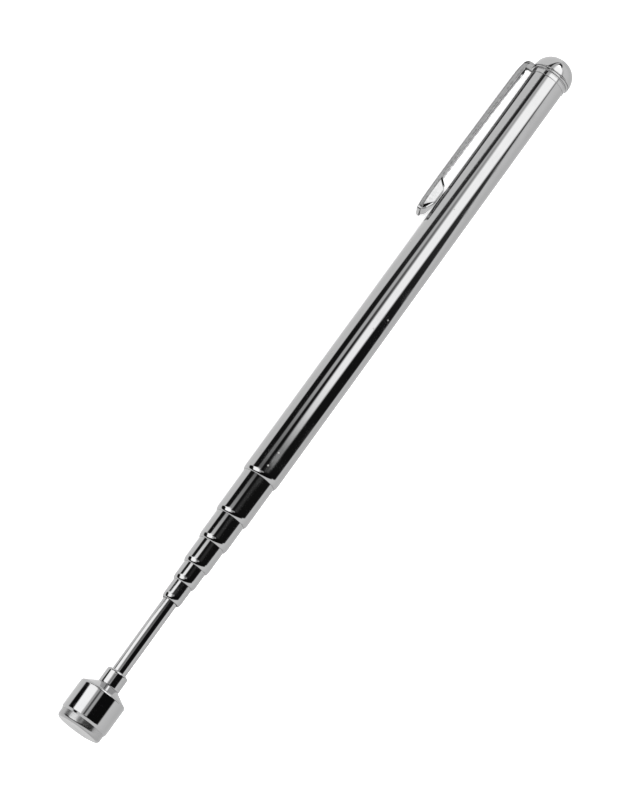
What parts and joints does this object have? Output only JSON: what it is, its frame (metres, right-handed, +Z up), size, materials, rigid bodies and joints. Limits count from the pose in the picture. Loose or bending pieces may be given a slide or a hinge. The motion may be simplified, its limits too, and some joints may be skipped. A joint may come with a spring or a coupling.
{
  "type": "magnetic pickup tool",
  "caption": "Telescopic pen-style magnetic pickup tool: chrome barrel with pocket clip and domed cap, nested sliding tubes, thin rod and a cylindrical magnet head.",
  "frame": {"origin": "centre of the whole tool's footprint, on the plane that the magnet head rests on, with the tool lying on its side and pulled a little way out", "axes": "+X along the tool from the domed cap towards the magnet face, +Z up, the pocket clip on the -Y side leaning down towards the resting plane"},
  "size_m": [0.163, 0.0114, 0.0098],
  "materials": {
    "barrel_chrome": "bright chrome plate on drawn steel tube, faint draw lines and handling marks",
    "tube_chrome": "bright chrome plate on drawn tube, fine lengthwise rub marks from sliding",
    "rod_chrome": "bright chrome plate on steel rod",
    "cap_chrome": "bright chrome plate on turned metal",
    "clip_chrome": "bright chrome plate on pressed spring steel strip",
    "head_chrome": "bright chrome plate on turned steel",
    "magnet_nickel": "bright nickel plate on sintered magnet, slightly softer than the chrome",
    "plug_brass": "plain turned brass",
    "sleeve_brass": "rolled spring bronze sheet",
    "plate_steel": "plain mild steel plate"
  },
  "bodies": {
    "barrel_body": {"barrel": "barrel_chrome", "barrel_plug": "plug_brass", "end_collar": "cap_chrome", "clip_foot": "clip_chrome", "end_cap": "cap_chrome"},
    "clip_spring": {"clip_arm": "clip_chrome"},
    "section_1": {"tube_1": "tube_chrome", "friction_sleeve_1": "sleeve_brass"},
    "section_2": {"tube_2": "tube_chrome", "friction_sleeve_2": "sleeve_brass"},
    "section_3": {"tube_3": "tube_chrome", "friction_sleeve_3": "sleeve_brass"},
    "section_4": {"tube_4": "tube_chrome", "friction_sleeve_4": "sleeve_brass"},
    "section_5": {"tube_5": "tube_chrome", "friction_sleeve_5": "sleeve_brass"},
    "rod_carrier": {"friction_sleeve_6": "sleeve_brass"},
    "rod_and_head": {"tip_rod": "rod_chrome", "neck_ferrule": "head_chrome", "head_cup": "head_chrome", "pole_plate": "plate_steel", "magnet": "magnet_nickel"}
  },
  "joints": [
    {"name": "section_1_slide", "type": "slide", "parent": "barrel_body", "child": "section_1", "axis": [1, 0, 0], "range_m": [-0.0082, 0.0767]},
    {"name": "section_2_slide", "type": "slide", "parent": "section_1", "child": "section_2", "axis": [1, 0, 0], "range_m": [-0.0049, 0.0812]},
    {"name": "section_3_slide", "type": "slide", "parent": "section_2", "child": "section_3", "axis": [1, 0, 0], "range_m": [-0.0042, 0.0831]},
    {"name": "section_4_slide", "type": "slide", "parent": "section_3", "child": "section_4", "axis": [1, 0, 0], "range_m": [-0.0027, 0.0858]},
    {"name": "section_5_slide", "type": "slide", "parent": "section_4", "child": "section_5", "axis": [1, 0, 0], "range_m": [-0.0028, 0.0869]},
    {"name": "rod_slide", "type": "slide", "parent": "section_5", "child": "rod_carrier", "axis": [1, 0, 0], "range_m": [-0.0153, 0.0756]},
    {"name": "rod_turn", "type": "hinge", "parent": "rod_carrier", "child": "rod_and_head", "pos_m": [0.0686, 0.0008, 0.0049], "axis": [1, 0, 0], "continuous": true},
    {"name": "clip_flex", "type": "hinge", "parent": "barrel_body", "child": "clip_spring", "pos_m": [-0.07708, -0.00322, 0.00311], "axis": [0, 0.4073, -0.9133], "range_deg": [0, 3.5], "stiffness_Nm_per_rad": 3.6}
  ]
}
